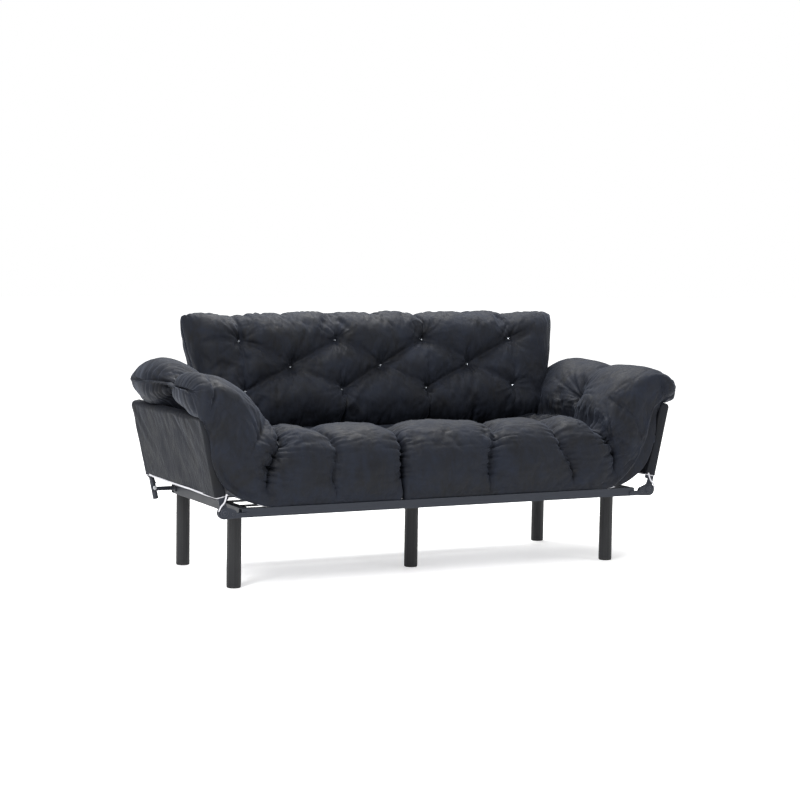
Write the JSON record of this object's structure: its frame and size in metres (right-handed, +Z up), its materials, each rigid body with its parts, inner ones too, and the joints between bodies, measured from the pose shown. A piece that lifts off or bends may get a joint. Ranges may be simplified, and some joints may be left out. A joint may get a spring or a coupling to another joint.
{
  "type": "futon sofa bed",
  "caption": "Dark velvet futon sofa bed: steel tube deck on round legs, ratchet-hinged side arms, reclining tufted back and a thick padded mattress.",
  "frame": {"origin": "floor under the middle of the whole sofa's plan", "axes": "+X to the sitter's left-hand side seen from the front, along the sofa's length; +Y from the front edge to the back; +Z up"},
  "size_m": [1.9586, 0.827, 0.9205],
  "materials": {
    "velvet": "blue-black velvet pile, soft sheen",
    "cover_velvet": "blue-black velvet sleeve, lightly wrinkled",
    "lining": "pale grey woven lining",
    "frame_paint": "anthracite powder coat",
    "leg_paint": "charcoal powder coat, fine texture",
    "slat_paint": "black powder coat",
    "bare_steel": "zinc plated",
    "foot_plastic": "matte black",
    "crystal": "faceted clear crystal button"
  },
  "bodies": {
    "deck": {"front_rail": "frame_paint", "rear_rail": "frame_paint", "side_rail_left": "frame_paint", "side_rail_right": "frame_paint", "centre_cross_tube": "frame_paint", "deck_bar_1": "slat_paint", "deck_bar_2": "slat_paint", "deck_bar_3": "slat_paint", "deck_bar_4": "slat_paint", "deck_bar_5": "slat_paint", "leg_front_left": "leg_paint", "leg_front_right": "leg_paint", "leg_rear_left": "leg_paint", "leg_rear_right": "leg_paint", "leg_centre": "leg_paint", "glide_front_left": "foot_plastic", "glide_front_right": "foot_plastic", "glide_rear_left": "foot_plastic", "glide_rear_right": "foot_plastic", "glide_centre": "foot_plastic", "arm_hinge_plate_front_left": "frame_paint", "arm_hinge_plate_rear_left": "frame_paint", "arm_pivot_bolt_front_left": "frame_paint", "arm_pivot_strap_rear_left": "frame_paint", "arm_pivot_bolt_rear_left": "bare_steel", "back_hinge_bracket_left": "frame_paint", "back_pivot_bolt_left": "bare_steel", "arm_hinge_plate_front_right": "frame_paint", "arm_hinge_plate_rear_right": "frame_paint", "arm_pivot_bolt_front_right": "frame_paint", "arm_pivot_strap_rear_right": "frame_paint", "arm_pivot_bolt_rear_right": "bare_steel", "back_hinge_bracket_right": "frame_paint", "back_pivot_bolt_right": "bare_steel", "mattress_seat": "velvet"},
    "arm_left": {"arm_post_front_left": "frame_paint", "arm_post_rear_left": "frame_paint", "arm_top_rail_left": "frame_paint", "arm_bottom_rail_left": "frame_paint", "arm_ratchet_plate_left": "frame_paint", "arm_cover_left": "cover_velvet", "mattress_arm_left": "velvet"},
    "arm_right": {"arm_post_front_right": "frame_paint", "arm_post_rear_right": "frame_paint", "arm_top_rail_right": "frame_paint", "arm_bottom_rail_right": "frame_paint", "arm_ratchet_plate_right": "frame_paint", "arm_cover_right": "cover_velvet", "mattress_arm_right": "velvet"},
    "back": {"back_post_left": "frame_paint", "back_post_right": "frame_paint", "back_top_tube": "frame_paint", "back_bottom_tube": "frame_paint", "back_centre_tube": "frame_paint", "back_hinge_plate_left": "frame_paint", "back_hinge_plate_right": "frame_paint", "back_cushion": "velvet"},
    "pawl_left": {"arm_pawl_left": "bare_steel"},
    "pawl_right": {"arm_pawl_right": "bare_steel"}
  },
  "joints": [
    {"name": "arm_left_ratchet", "type": "hinge", "parent": "deck", "child": "arm_left", "pos_m": [-0.849, -0.0005, 0.28], "axis": [0, -1, 0], "range_deg": [0, 78]},
    {"name": "arm_right_ratchet", "type": "hinge", "parent": "deck", "child": "arm_right", "pos_m": [0.849, -0.0005, 0.28], "axis": [0, 1, 0], "range_deg": [0, 78]},
    {"name": "back_recline", "type": "hinge", "parent": "deck", "child": "back", "pos_m": [0, 0.2795, 0.306], "axis": [-1, 0, 0], "range_deg": [0, 75]},
    {"name": "pawl_left_rock", "type": "hinge", "parent": "deck", "child": "pawl_left", "pos_m": [-0.817, -0.3845, 0.274], "axis": [0, -1, 0], "range_deg": [0, 10], "stiffness_Nm_per_rad": 0.2, "springref_deg": -5.73},
    {"name": "pawl_right_rock", "type": "hinge", "parent": "deck", "child": "pawl_right", "pos_m": [0.817, -0.3845, 0.274], "axis": [0, 1, 0], "range_deg": [0, 10], "stiffness_Nm_per_rad": 0.2, "springref_deg": -5.73}
  ]
}
